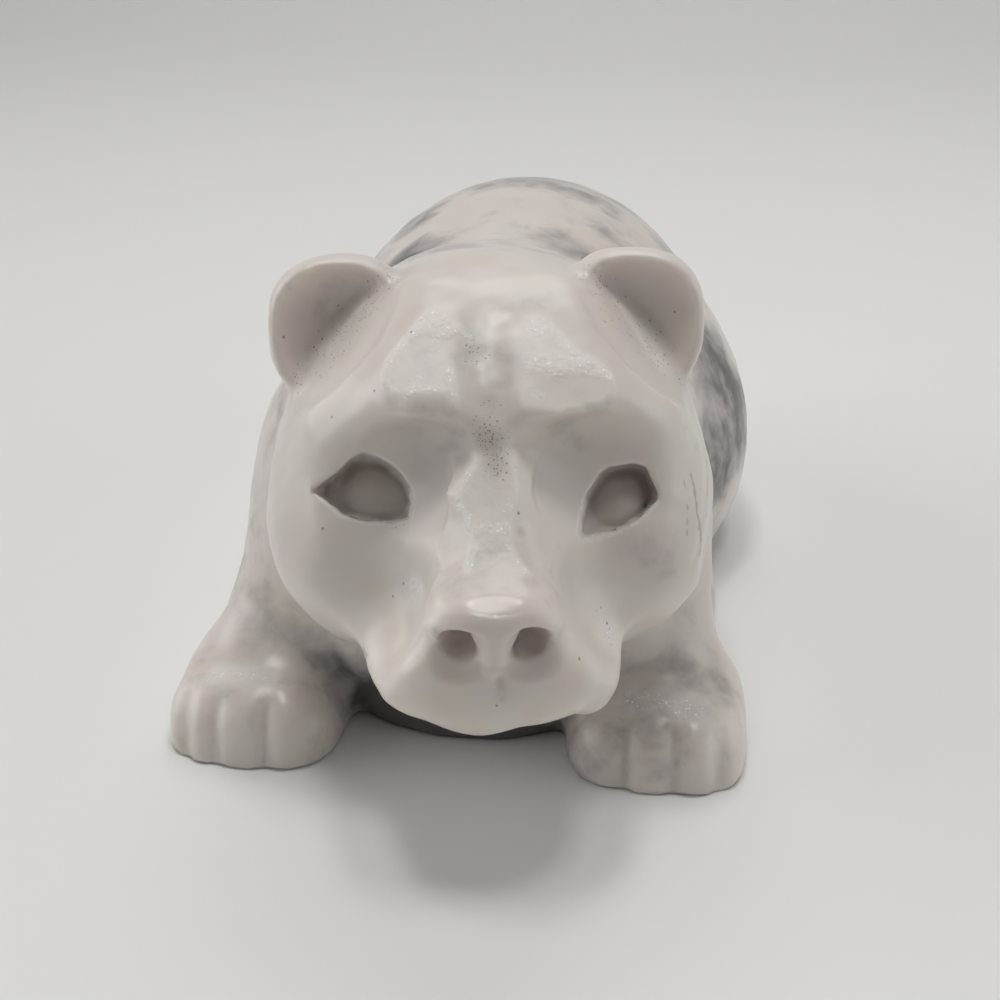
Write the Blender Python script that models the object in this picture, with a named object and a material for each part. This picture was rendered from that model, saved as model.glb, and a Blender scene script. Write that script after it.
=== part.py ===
"""Polar bear figurine, carved from one block of polished marble.

The bear crouches with its belly on the ground, its head held low and forward and turned a little
to its own left. It faces -Y, +Z is up, and the origin is on the ground under the middle of its
bounding box. Sizes below are in millimetres, and every mesh is made in metres.

The form is blocked out the way a carver works: large rounded masses are welded into one skin and
smoothed, then the limbs, brow and muzzle join with less smoothing, and the ears, nose, eyes and
toes come last and stay the sharpest.
"""

import math

import bmesh
import bpy
from mathutils import Matrix

MM = 0.001

# Driving dimensions, in millimetres
RUMP_WIDTH = 55.0
RUMP_HEIGHT = 48.5
RUMP_LENGTH = 66.0
RUMP_Y = 24.0
HAUNCH_SPREAD = 38.0
HAUNCH_SIZE = (23.0, 37.0, 33.0)
TRUNK_WIDTH = 46.0
SHOULDER_Y = -20.0
SHOULDER_SPREAD = 29.0
SHOULDER_SIZE = (21.0, 25.0, 32.0)
SHOULDER_HEIGHT = 48.0
FRONT_PAW_SPREAD = 44.6
FRONT_PAW_SIZE = (18.6, 20.4, 14.6)
FRONT_PAW_Y = {-1: -34.0, 1: -32.4}
HIND_PAW_SPREAD = 42.0
HIND_PAW_SIZE = (14.4, 24.0, 13.0)
HIND_PAW_Y = -1.0
TAIL_TIP = (0.0, 59.5, 13.0)
HEAD_CENTRE = (3.5, -34.9, 34.0)
HEAD_TURN_DEG = 9.5
SKULL_SIZE = (41.0, 40.0, 35.6)
CHEEK_SPREAD = 19.0
MUZZLE_SIZE = (24.8, 26.0, 16.0)
NOSE_SIZE = (12.8, 6.2, 6.2)
EYE_SPREAD = 24.0
EYE_SIZE = (8.6, 9.6, 6.8)
EAR_CENTRES = {-1: (-14.8, 3.4, 12.6), 1: (13.9, 3.4, 13.4)}
EAR_SIZE = (14.4, 9.6, 14.6)
TOE_GROOVE_SPACING = 4.6

# Triangles kept when the finished skin is thinned out, before its underside is sawn flat
BLANK_TRIANGLES = 11200

MARBLE_COLOUR = (0.80, 0.77, 0.75, 1.0)
MARBLE_ROUGHNESS = 0.25

SIDES = (-1, 1)
BODY = Matrix.Scale(MM, 4)
HEAD = (
    BODY
    @ Matrix.Translation(HEAD_CENTRE)
    @ Matrix.Rotation(math.radians(HEAD_TURN_DEG), 4, "Z")
)


def clear_scene():
    """Remove every object that the file starts with."""
    for old in list(bpy.data.objects):
        bpy.data.objects.remove(old, do_unlink=True)


def finish_mass(shape, frame, centre=(0.0, 0.0, 0.0), stretch=(1.0, 1.0, 1.0), turn=(0.0, 0.0, 0.0)):
    """Stretch, turn and move a bmesh, carry it into its frame, and return it as a mesh."""
    spin = Matrix.Identity(4)
    for degrees, axis in zip(turn, "XYZ"):
        spin = Matrix.Rotation(math.radians(degrees), 4, axis) @ spin
    own = Matrix.Translation(centre) @ spin @ Matrix.Diagonal((*stretch, 1.0))
    bmesh.ops.transform(shape, matrix=frame @ own, verts=shape.verts)
    bmesh.ops.recalc_face_normals(shape, faces=shape.faces)
    mesh = bpy.data.meshes.new("mass")
    shape.to_mesh(mesh)
    shape.free()
    return mesh


def ellipsoid(frame, centre, size, turn=(0.0, 0.0, 0.0)):
    """Return a rounded mass of the given full size, turned in degrees about X, Y and Z."""
    shape = bmesh.new()
    bmesh.ops.create_icosphere(shape, subdivisions=4, radius=0.5)
    return finish_mass(shape, frame, centre, size, turn)


def block(frame, centre, size, edge_radius, turn=(0.0, 0.0, 0.0)):
    """Return a box of the given full size with rounded edges."""
    shape = bmesh.new()
    bmesh.ops.create_cube(shape, size=1.0)
    bmesh.ops.scale(shape, vec=size, verts=shape.verts)
    bmesh.ops.bevel(
        shape, geom=shape.edges[:], offset=edge_radius, segments=4, profile=0.5, affect="EDGES"
    )
    return finish_mass(shape, frame, centre, turn=turn)


def limb(frame, start, start_radius, end, end_radius):
    """Return a tapered rod with round ends between two points."""
    shape = bmesh.new()
    for centre, radius in ((start, start_radius), (end, end_radius)):
        bmesh.ops.create_icosphere(
            shape, subdivisions=3, radius=radius, matrix=Matrix.Translation(centre)
        )
    hull = bmesh.ops.convex_hull(shape, input=shape.verts)
    inner = [item for item in hull["geom_interior"] if isinstance(item, bmesh.types.BMVert)]
    bmesh.ops.delete(shape, geom=inner, context="VERTS")
    return finish_mass(shape, frame)


def both_sides(maker, frame, centre, *sizes, turn=(0.0, 0.0, 0.0)):
    """Return a mass and its mirror image; the centre and turn are those of the bear's left side."""
    x, y, z = centre
    tip, roll, yaw = turn
    return [
        maker(frame, (side * x, y, z), *sizes, turn=(tip, side * roll, side * yaw))
        for side in SIDES
    ]


def new_object(name, mesh):
    """Link a mesh into the scene as an object."""
    item = bpy.data.objects.new(name, mesh)
    bpy.context.scene.collection.objects.link(item)
    return item


def evaluated_mesh(item):
    """Return a copy of an object's mesh with its modifiers applied, and remove the object."""
    bpy.context.view_layer.update()
    graph = bpy.context.evaluated_depsgraph_get()
    mesh = bpy.data.meshes.new_from_object(item.evaluated_get(graph))
    bpy.data.objects.remove(item, do_unlink=True)
    return mesh


def joined(meshes):
    """Return one mesh that holds all the given shells."""
    everything = bmesh.new()
    for mesh in meshes:
        everything.from_mesh(mesh)
    mesh = bpy.data.meshes.new("shells")
    everything.to_mesh(mesh)
    everything.free()
    return mesh


def weld(masses, voxel, passes):
    """Fuse overlapping masses into one skin, then smooth away the creases between them."""
    item = new_object("weld", joined(masses))
    remesh = item.modifiers.new("skin", "REMESH")
    remesh.mode = "VOXEL"
    remesh.voxel_size = voxel * MM
    smooth = item.modifiers.new("blend", "SMOOTH")
    smooth.factor = 0.5
    smooth.iterations = passes
    return evaluated_mesh(item)


def carve(skin, hollows):
    """Cut the hollows out of a skin."""
    item = new_object("blank", skin)
    cutter = new_object("hollows", joined(hollows))
    cutter.hide_render = True
    cutter.display_type = "WIRE"
    item.modifiers.new("triangles", "TRIANGULATE")
    cut = item.modifiers.new("carve", "BOOLEAN")
    cut.operation = "DIFFERENCE"
    cut.object = cutter
    mesh = evaluated_mesh(item)
    bpy.data.objects.remove(cutter, do_unlink=True)
    return mesh


def torso_masses():
    """Return the large masses of the rump, trunk, shoulders, chest and neck."""
    masses = [
        ellipsoid(BODY, (0, RUMP_Y, 18), (RUMP_WIDTH, RUMP_LENGTH, 2 * (RUMP_HEIGHT - 18))),
        ellipsoid(BODY, (0, 0, 21), (TRUNK_WIDTH, 72, 48)),
        ellipsoid(BODY, (0, SHOULDER_Y + 2, 26), (39, 38, 2 * (SHOULDER_HEIGHT - 26))),
        ellipsoid(BODY, (0, SHOULDER_Y - 3, 9), (38, 30, 34)),
        limb(BODY, (0, -14, 30), 18, (2, -27, 33), 16.5),
        limb(BODY, (0, 46, 18), 8, TAIL_TIP, 3.6),
    ]
    masses += both_sides(ellipsoid, BODY, (16, RUMP_Y - 3, 13), (28, 44, 36))
    masses += both_sides(ellipsoid, BODY, (12.5, SHOULDER_Y, 21), (22, 30, 36))
    return masses


def limb_masses():
    """Return the haunches, the shoulder blades, the forelegs and the four paws."""
    front_x = FRONT_PAW_SPREAD / 2
    masses = both_sides(block, BODY, (HIND_PAW_SPREAD / 2, HIND_PAW_Y, 0), HIND_PAW_SIZE, 4.5)
    masses += both_sides(ellipsoid, BODY, (HAUNCH_SPREAD / 2, RUMP_Y - 5, 14), HAUNCH_SIZE)
    masses += both_sides(ellipsoid, BODY, (SHOULDER_SPREAD / 2, SHOULDER_Y, 23), SHOULDER_SIZE)
    for side in SIDES:
        paw_y = FRONT_PAW_Y[side]
        shoulder = (side * 16, SHOULDER_Y - 2, 18)
        wrist = (side * (front_x - 1), paw_y + 6, 7)
        masses.append(limb(BODY, shoulder, 9, wrist, 7.6))
        masses.append(block(BODY, (side * front_x, paw_y, 0), FRONT_PAW_SIZE, 4))
        masses.append(ellipsoid(BODY, (side * front_x, paw_y + 3, 5), (16, 18, 9)))
    return masses


def head_masses():
    """Return the skull, cheeks and muzzle."""
    masses = [
        ellipsoid(HEAD, (0, 4, 2), SKULL_SIZE),
        limb(HEAD, (0, -8, -2.5), 8, (0, -19, -6.5), 6.5),
        ellipsoid(HEAD, (0, -13, -11), MUZZLE_SIZE),
        ellipsoid(HEAD, (0, -18, -13.4), (16, 15, 10.4)),
    ]
    masses += both_sides(ellipsoid, HEAD, (CHEEK_SPREAD / 2, 1, -5), (26.4, 28, 24))
    return masses


def brow_masses():
    """Return the two rounded ridges that run up the forehead from the brow."""
    return [
        limb(HEAD, (side * 6.2, -10.2, 10.8), 4.0, (side * 5.6, -1, 15.4), 3.4) for side in SIDES
    ]


def brow_hollows():
    """Return the cutters that sink the face below the brow, on both sides of the snout."""
    return both_sides(ellipsoid, HEAD, (10.2, -18.6, 4.2), (19, 17, 14.4))


def snout_masses():
    """Return the bridge of the snout and the nose."""
    return [
        limb(HEAD, (0, -11.6, 1.4), 3.8, (0, -23, -4.6), 3.3),
        block(HEAD, (0, -24, -4.5), NOSE_SIZE, 2.6),
    ]


def ears():
    """Return the two round ears, each hollowed into a cup that faces forward."""
    cup_size = (0.82 * EAR_SIZE[0], 11, 0.82 * EAR_SIZE[2])
    cups = []
    shells = []
    for side, (x, y, z) in EAR_CENTRES.items():
        turn = (-8, 0, -12 * side)
        shells.append(ellipsoid(HEAD, (x, y, z), EAR_SIZE, turn))
        cups.append(ellipsoid(HEAD, (x - 0.3 * side, y - 4.6, z - 0.3), cup_size, turn))
    return carve(joined(shells), cups)


def fine_hollows():
    """Return the cutters of the eye sockets, nostrils and toe grooves."""
    hollows = both_sides(ellipsoid, HEAD, (EYE_SPREAD / 2, -11.8, 1.9), EYE_SIZE, turn=(0, 0, 20))
    hollows += both_sides(ellipsoid, HEAD, (3.1, -26.6, -6.6), (4.2, 6, 4), turn=(0, 0, 15))
    for side in SIDES:
        front_toes = FRONT_PAW_Y[side] - FRONT_PAW_SIZE[1] / 2
        hind_toes = HIND_PAW_Y - HIND_PAW_SIZE[1] / 2
        hollows += toe_grooves(side * FRONT_PAW_SPREAD / 2, front_toes, TOE_GROOVE_SPACING)
        hollows += toe_grooves(side * HIND_PAW_SPREAD / 2, hind_toes, 0.8 * TOE_GROOVE_SPACING)
    return hollows


def toe_grooves(paw_x, toe_y, spacing):
    """Return the three cutters that part the toes on the front of a paw."""
    return [
        limb(BODY, (x, toe_y - 0.3, -1), 1.1, (x, toe_y + 2.2, 7.4), 0.9)
        for x in (paw_x - spacing, paw_x, paw_x + spacing)
    ]


def eyeballs():
    """Return the blank, gently domed eyes inside their sockets."""
    return both_sides(ellipsoid, HEAD, (EYE_SPREAD / 2, -7, 1.7), (7, 4.6, 5), turn=(0, 0, 20))


def marble():
    """Return the polished white marble."""
    material = bpy.data.materials.new("polished_white_marble")
    material.use_nodes = True
    shader = material.node_tree.nodes["Principled BSDF"]
    shader.inputs["Base Color"].default_value = MARBLE_COLOUR
    shader.inputs["Roughness"].default_value = MARBLE_ROUGHNESS
    shader.inputs["Metallic"].default_value = 0.0
    return material


def ground_cutter():
    """Return the block that saws the underside flat at ground level."""
    shape = bmesh.new()
    bmesh.ops.create_cube(shape, size=1.0)
    saw = new_object("ground_cutter", finish_mass(shape, BODY, (0, 0, -20), (160, 160, 40)))
    saw.hide_render = True
    saw.display_type = "WIRE"
    return saw


def build_bear():
    """Carve the bear and return its object."""
    skin = weld(torso_masses() + head_masses(), voxel=1.1, passes=14)
    skin = weld([skin] + limb_masses() + brow_masses(), voxel=0.9, passes=4)
    skin = weld([carve(skin, brow_hollows())], voxel=0.8, passes=3)
    skin = weld([skin, ears()] + snout_masses(), voxel=0.7, passes=2)
    skin = weld([carve(skin, fine_hollows())] + eyeballs(), voxel=0.6, passes=1)

    bear = new_object("polar_bear", skin)
    bear.data.materials.clear()
    bear.data.materials.append(marble())
    bear.data.shade_smooth()
    thin = bear.modifiers.new("thin_out", "DECIMATE")
    thin.ratio = BLANK_TRIANGLES / (2 * len(skin.polygons))
    saw = bear.modifiers.new("flat_underside", "BOOLEAN")
    saw.operation = "DIFFERENCE"
    saw.object = ground_cutter()
    return bear


clear_scene()
build_bear()
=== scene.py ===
"""Polar bear figurine, hand carved from one block of polished white marble.

The bear crouches with its belly on the ground. Its head is low and forward, and turned a little to
its own left. It faces -Y and +Z is up. Sizes in this file are millimetres unless a comment says
otherwise, and the mesh is made in metres.

The stone is worked the way a carver works. Rounded masses run into each other to make the body and
the head, then planes, hollows and grooves are pared away, and what is left is polished. Each mass is
a signed distance, negative inside the stone, so that a join or a cut can be as soft or as crisp as
the chisel left it.
"""

import logging
import math
from collections.abc import Callable, Sequence
from dataclasses import dataclass, field
from enum import Enum

import bmesh
import bpy
import numpy as np
from mathutils import Matrix, Vector


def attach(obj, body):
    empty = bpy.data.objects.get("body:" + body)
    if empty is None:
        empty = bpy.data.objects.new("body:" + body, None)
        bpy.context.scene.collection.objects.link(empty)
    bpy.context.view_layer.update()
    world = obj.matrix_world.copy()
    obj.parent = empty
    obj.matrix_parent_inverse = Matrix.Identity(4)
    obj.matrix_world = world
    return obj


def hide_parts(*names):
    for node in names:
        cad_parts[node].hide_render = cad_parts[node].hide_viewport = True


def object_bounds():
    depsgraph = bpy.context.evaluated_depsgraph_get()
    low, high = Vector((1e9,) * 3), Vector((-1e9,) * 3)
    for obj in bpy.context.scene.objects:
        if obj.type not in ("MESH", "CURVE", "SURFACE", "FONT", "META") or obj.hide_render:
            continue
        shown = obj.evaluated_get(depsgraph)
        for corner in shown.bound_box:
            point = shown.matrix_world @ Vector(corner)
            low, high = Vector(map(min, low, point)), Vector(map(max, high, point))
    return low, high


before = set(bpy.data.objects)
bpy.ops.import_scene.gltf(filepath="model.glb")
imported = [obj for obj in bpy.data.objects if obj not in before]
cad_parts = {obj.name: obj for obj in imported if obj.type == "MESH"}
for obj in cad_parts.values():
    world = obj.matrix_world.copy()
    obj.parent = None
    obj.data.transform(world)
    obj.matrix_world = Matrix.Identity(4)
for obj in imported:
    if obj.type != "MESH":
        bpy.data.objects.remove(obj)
CAD_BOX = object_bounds()

MM = 0.001

Points = np.ndarray
Distances = np.ndarray
Triple = tuple[float, float, float]
Pair = tuple[float, float]
Shape = Callable[[Points], Distances]

log = logging.getLogger("polar_bear")


class Side(Enum):
    """The bear's own right and left, by the sign of x."""

    RIGHT = -1
    LEFT = 1


# Shapes: each takes points in millimetres and returns their distance to its surface


def spin(turn: Triple) -> np.ndarray:
    """Make a rotation.

    Args:
        turn: Degrees about X, then Y, then Z.

    Returns:
        The rotation as a 3 x 3 matrix.
    """
    result = np.identity(3)
    for degrees, axis in zip(turn, "XYZ"):
        result = np.array(Matrix.Rotation(math.radians(degrees), 3, axis)) @ result
    return result.astype(np.float32)


def seen_from(points: Points, centre: Triple, turn: Triple = (0, 0, 0)) -> Points:
    """Give points in a part's own frame.

    Args:
        points: Points in the outer frame.
        centre: The part's origin.
        turn: The part's turn about X, Y and Z in degrees.

    Returns:
        The points in the part's frame.
    """
    local = points - np.array(centre, np.float32)
    return local @ spin(turn) if any(turn) else local


def ellipsoid(points: Points, centre: Triple, size: Triple, turn: Triple = (0, 0, 0)) -> Distances:
    """Measure to a rounded mass.

    Args:
        points: Where to measure.
        centre: The middle of the mass.
        size: Its full width, length and height.
        turn: Its turn about X, Y and Z in degrees.

    Returns:
        The distances.
    """
    local = seen_from(points, centre, turn)
    radii = np.array(size, np.float32) / 2
    near = np.sqrt(((local / radii) ** 2).sum(-1))
    slope = np.sqrt(((local / radii**2) ** 2).sum(-1)) + 1e-9
    return near * (near - 1) / slope


def boulder(
    points: Points, centre: Triple, size: Triple, fullness: float, turn: Triple = (0, 0, 0)
) -> Distances:
    """Measure to a rounded mass that is squarer than an ellipsoid.

    Args:
        points: Where to measure.
        centre: The middle of the mass.
        size: Its full width, length and height.
        fullness: 2 for an ellipsoid, and more for fuller sides.
        turn: Its turn about X, Y and Z in degrees.

    Returns:
        The distances.
    """
    radii = np.array(size, np.float32) / 2
    part = np.abs(seen_from(points, centre, turn)) / radii + 1e-6
    powers = part ** (fullness - 1)
    near = (powers * part).sum(-1) ** (1 / fullness)
    slope = np.sqrt(((powers / radii) ** 2).sum(-1)) * near ** (1 - fullness)
    return (near - 1) / slope


def limb(points: Points, start: Triple, start_radius: float, end: Triple, end_radius: float) -> Distances:
    """Measure to a tapered rod with round ends.

    Args:
        points: Where to measure.
        start: The middle of the first end.
        start_radius: Its radius.
        end: The middle of the other end.
        end_radius: Its radius.

    Returns:
        The distances.
    """
    first, last = np.array(start, np.float32), np.array(end, np.float32)
    axis = last - first
    length = float(np.sqrt(axis @ axis))
    axis = axis / length
    local = points - first
    along = local @ axis
    across = np.sqrt(np.maximum((local**2).sum(-1) - along**2, 0))
    sine = (start_radius - end_radius) / length
    cosine = math.sqrt(1 - sine * sine)
    foot = along + across * sine / cosine
    side = across * cosine + along * sine - start_radius
    start_cap = np.sqrt(across**2 + along**2) - start_radius
    end_cap = np.sqrt(across**2 + (along - length) ** 2) - end_radius
    return np.where(foot < 0, start_cap, np.where(foot > length, end_cap, side))


def block(points: Points, centre: Triple, size: Triple, edge: float, turn: Triple = (0, 0, 0)) -> Distances:
    """Measure to a box with rounded edges.

    Args:
        points: Where to measure.
        centre: The middle of the box.
        size: Its full width, length and height.
        edge: The radius of its edges.
        turn: Its turn about X, Y and Z in degrees.

    Returns:
        The distances.
    """
    beyond = np.abs(seen_from(points, centre, turn)) - (np.array(size, np.float32) / 2 - edge)
    outside = np.sqrt((np.maximum(beyond, 0) ** 2).sum(-1))
    return outside + np.minimum(beyond.max(-1), 0) - edge


def plane(points: Points, through: Triple, facing: Triple) -> Distances:
    """Measure the height above a plane.

    Args:
        points: Where to measure.
        through: A point on the plane.
        facing: The direction that the plane faces, of any length.

    Returns:
        The heights, positive on the side that the plane faces.
    """
    normal = np.array(facing, np.float32)
    return (points - np.array(through, np.float32)) @ (normal / np.linalg.norm(normal))


def blend(first: Distances, second: Distances, reach: float) -> Distances:
    """Run two masses into each other, with a fillet that starts where they are reach apart."""
    near = np.maximum(reach - np.abs(first - second), 0)
    return np.minimum(first, second) - near * near / (4 * reach)


def pare(solid: Distances, cutter: Distances, softness: float) -> Distances:
    """Cut a shape away from a solid, and ease the new edge by softness."""
    return -blend(-solid, cutter, softness)


def both_sides(points: Points) -> Points:
    """Fold the bear's right side onto its left, so that one mass makes a pair."""
    folded = points.copy()
    folded[..., 0] = np.abs(folded[..., 0])
    return folded


def fade(values: np.ndarray, start: float, end: float) -> np.ndarray:
    """Go smoothly from 0 at start to 1 at end; end may be the lower of the two."""
    part = np.clip((values - start) / (end - start), 0, 1)
    return part * part * (3 - 2 * part)


def where_near(points: Points, centre: Triple, reach: float) -> np.ndarray:
    """Mark the points that are within reach of a centre."""
    return ((points - np.array(centre, np.float32)) ** 2).sum(-1) < reach * reach


# The parts of the bear


@dataclass(frozen=True)
class Torso:
    """The rump, back, shoulders, chest and neck, as one run of rounded masses."""

    rump_size: Triple = (55, 66, 61)
    rump_centre: Triple = (0, 24, 18)
    flank_size: Triple = (28, 44, 36)
    flank_centre: Triple = (16, 21, 13)
    trunk_size: Triple = (46, 72, 48)
    withers_size: Triple = (39, 38, 44)
    withers_centre: Triple = (0, -18, 26)
    chest_size: Triple = (38, 30, 34)
    chest_centre: Triple = (0, -23, 9)
    shoulder_size: Triple = (22, 30, 36)
    shoulder_centre: Triple = (12.5, -20, 21)
    neck_start: Triple = (0, -14, 30)
    neck_end: Triple = (2, -27, 33)
    tail_root: Triple = (0, 46, 18)
    tail_tip: Triple = (0, 59.5, 13)

    def solid(self, points: Points) -> Distances:
        """Join the masses of the torso."""
        pair = both_sides(points)
        stone = ellipsoid(points, self.rump_centre, self.rump_size)
        stone = blend(stone, ellipsoid(pair, self.flank_centre, self.flank_size), 8)
        stone = blend(stone, ellipsoid(points, (0, 0, 21), self.trunk_size), 10)
        stone = blend(stone, ellipsoid(points, self.withers_centre, self.withers_size), 8)
        stone = blend(stone, ellipsoid(pair, self.shoulder_centre, self.shoulder_size), 6)
        stone = blend(stone, ellipsoid(points, self.chest_centre, self.chest_size), 6)
        stone = blend(stone, limb(points, self.neck_start, 18, self.neck_end, 16.5), 8)
        return blend(stone, limb(points, self.tail_root, 8, self.tail_tip, 3.6), 5)


@dataclass(frozen=True)
class Paw:
    """A broad rounded paw whose toes are parted by shallow valleys."""

    centre: Triple
    size: Triple
    fullness: float
    toes: tuple[float, ...]
    valley_width: float = 0.9
    valley_depth: float = 0.8

    def solid(self, points: Points) -> Distances:
        """Shape the paw as a boulder, half of it below the ground."""
        return boulder(points, self.centre, self.size, self.fullness)

    def valleys(self, points: Points) -> np.ndarray:
        """Measure how deep the valleys between the toes are, down the front of the paw."""
        x, y, _ = self.centre
        reach, top = self.size[1] / 2, self.size[2] / 2
        across = np.minimum.reduce([np.abs(points[..., 0] - x - step) for step in self.toes])
        depth = self.valley_depth * np.exp(-((across / self.valley_width) ** 2))
        depth = depth * (np.abs(points[..., 0] - x) < self.size[0] / 2)
        depth = depth * fade(points[..., 1], y - reach * 0.45, y - reach * 0.8) * (points[..., 1] > y - reach - 2)
        return depth * fade(points[..., 2], top + 0.6, top * 0.7) * fade(points[..., 2], -0.6, 1.6)


@dataclass(frozen=True)
class Legs:
    """The haunches, shoulder blades and forelegs, with the four paws."""

    haunch_size: Triple = (23, 37, 33)
    haunch_centre: Triple = (19, 19, 14)
    blade_size: Triple = (21, 25, 32)
    blade_centre: Triple = (14.5, -20, 23)
    front_x: dict[Side, float] = field(default_factory=lambda: {Side.RIGHT: 22.7, Side.LEFT: 21.6})
    front_y: dict[Side, float] = field(default_factory=lambda: {Side.RIGHT: -34.0, Side.LEFT: -32.4})
    front_size: Triple = (19.6, 20.8, 16.6)
    front_toes: dict[Side, tuple[float, ...]] = field(default_factory=lambda: {
        Side.RIGHT: (-6.2, -2.9, 2.7), Side.LEFT: (-3.1, 2.2, 6.7)})
    hind_centre: Triple = (21, -1, 0)
    hind_size: Triple = (14.4, 24, 13)

    def paws(self) -> list[Paw]:
        """List the four paws."""
        x, y, z = self.hind_centre
        made = []
        for side in Side:
            place = (side.value * self.front_x[side], self.front_y[side], 0)
            made.append(Paw(place, self.front_size, 3.2, self.front_toes[side]))
            made.append(Paw((side.value * x, y, z), self.hind_size, 3.0, (-3.7, 0, 3.7)))
        return made

    def solid(self, points: Points, torso: Distances) -> Distances:
        """Join the legs and paws to the torso.

        Args:
            points: Where to measure.
            torso: The distances to the torso there.

        Returns:
            The distances to both together.
        """
        pair = both_sides(points)
        stone = blend(torso, ellipsoid(pair, self.haunch_centre, self.haunch_size), 5)
        stone = blend(stone, ellipsoid(pair, self.blade_centre, self.blade_size), 5)
        for side in Side:
            x, y = side.value * self.front_x[side], self.front_y[side]
            leg = limb(points, (side.value * 16, -22, 18), 9, (x - side.value, y + 6, 7), 7.6)
            stone = blend(stone, leg, 5)
            stone = blend(stone, ellipsoid(points, (x, y + 3, 5), (16, 18, 9)), 3)
        for paw in self.paws():
            stone = blend(stone, paw.solid(points), 2.5)
        return stone + sum(paw.valleys(points) for paw in self.paws())


@dataclass(frozen=True)
class Outline:
    """A closed outline on the face, and the direction in which the tool follows it into the stone."""

    centre: Triple
    aim: Triple
    corners: tuple[Pair, ...]
    rounding: float = 0.4

    def aimed(self, points: Points) -> Points:
        """Give points in the tool's frame: x across, y into the stone and z up the face."""
        return seen_from(points, self.centre, self.aim)

    def distance(self, aimed: Points) -> Distances:
        """Measure to the outline.

        Args:
            aimed: Points in the tool's frame.

        Returns:
            The distances across the face, negative inside the outline.
        """
        place = aimed[..., [0, 2]]
        corners = np.array(self.corners, np.float32)
        nearest = np.full(len(place), 1e9, np.float32)
        inside = np.zeros(len(place), bool)
        for start, end in zip(corners, np.roll(corners, -1, 0)):
            edge, offset = end - start, place - start
            along = np.clip(offset @ edge / (edge @ edge), 0, 1)
            nearest = np.minimum(nearest, ((offset - along[:, None] * edge) ** 2).sum(-1))
            between = (start[1] <= place[:, 1]) != (end[1] <= place[:, 1])
            left = edge[0] * offset[:, 1] > edge[1] * offset[:, 0]
            inside ^= between & (left == (edge[1] > 0))
        return np.where(inside, -1, 1) * np.sqrt(nearest) - self.rounding


@dataclass(frozen=True)
class Eye:
    """A blank eyeball in a sunken socket with a crisp lower lid."""

    outline: Outline
    ball_centre: Pair
    ball_size: Pair
    corner: Pair
    depth: float = 2.3
    slant: float = 0.30
    shallowest: float = 1.3
    deepest: float = 3.1
    outer_rise: float = 0.7
    ledge_depth: float = 0.5
    ledge_width: float = 0.12
    ball_depth: float = 1.15
    ball_fall: float = 1.3

    def sunk(self, points: Points) -> np.ndarray:
        """Mark the inside of the socket, down to its lit lower edge."""
        aimed = self.outline.aimed(points)
        inside = fade(self.outline.distance(aimed), 0.1, -0.5) * (aimed[..., 1] > -4) * (aimed[..., 1] < 8)
        return inside * fade(aimed[..., 2], -3.4, -1.2)

    def pit(self, points: Points) -> np.ndarray:
        """Mark the dirty pit in the outer corner of the socket."""
        aimed = self.outline.aimed(points)
        away = np.hypot(aimed[..., 0] - self.corner[0], aimed[..., 2] - self.corner[1])
        return fade(away, 1.6, 0.3) * fade(self.outline.distance(aimed), 0.1, -0.3) * (np.abs(aimed[..., 1]) < 5)

    def lid(self, points: Points) -> np.ndarray:
        """Mark the worn edge of the lower lid, where a thin highlight is painted."""
        aimed = self.outline.aimed(points)
        edge = fade(np.abs(self.outline.distance(aimed)), 0.38, 0.10)
        return edge * fade(aimed[..., 2], 0.3, -0.8) * (np.abs(aimed[..., 1]) < 5)

    def carve(self, points: Points, stone: Distances) -> Distances:
        """Sink the socket to its depth below the face, and leave the eyeball standing in it.

        Args:
            points: Points in the head's frame.
            stone: The distances to the head there.

        Returns:
            The distances to the head with the eye.
        """
        aimed = self.outline.aimed(points)
        rim = self.outline.distance(aimed)
        across, up = aimed[..., 0], aimed[..., 2]
        outward = fade(across * np.sign(self.corner[0]), 1.0, 3.8)
        socket = np.clip(self.depth + self.slant * up, self.shallowest, self.deepest) - self.outer_rise * outward
        ledge = fade(-rim, self.ledge_width + 0.25, self.ledge_width) * fade(up, 0.5, -0.8)
        socket = socket + (self.ledge_depth - socket) * ledge
        bulge = ((across - self.ball_centre[0]) / (self.ball_size[0] / 2)) ** 2
        bulge += ((up - self.ball_centre[1]) / (self.ball_size[1] / 2)) ** 2
        floor = blend(socket, self.ball_depth + self.slant * up + self.ball_fall * bulge, 0.25)
        cutter = -blend(-rim, stone + floor, 0.3)
        return pare(stone, np.where(np.abs(rim) < 9, cutter, 9), 0.25)


@dataclass(frozen=True)
class Ear:
    """A round ear, hollowed in front and set behind a crease in the forehead."""

    centre: Triple
    turn: Triple
    size: Triple = (14.4, 9.6, 14.6)
    cup_size: Triple = (15.2, 10.4, 16.4)
    cup_forward: float = 5.3
    cup_rise: float = 0.5
    crease: float = 26.2
    crease_slope: float = 0.4

    def fold(self, points: Points, side: Side) -> Distances:
        """Measure the height above the fold between the forehead and the ear."""
        return plane(points, (0, -2.5, self.crease), (side.value, -self.crease_slope, 1))

    def away(self, points: Points) -> Distances:
        """Measure the distance from the ear."""
        return boulder(points, self.centre, self.size, 2.5, self.turn)

    def carve(self, points: Points, stone: Distances, side: Side) -> Distances:
        """Add the ear and hollow it.

        Args:
            points: Points in the head's frame.
            stone: The distances to the head there.
            side: Which side of the head the ear is on.

        Returns:
            The distances to the head with the ear.
        """
        x, y, z = self.centre
        stone = blend(stone, self.away(points), 1.2)
        cup = ellipsoid(points, (x, y - self.cup_forward, z + self.cup_rise), self.cup_size, self.turn)
        return pare(stone, -blend(-cup, self.fold(points, side), 1.4), 0.8)


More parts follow.
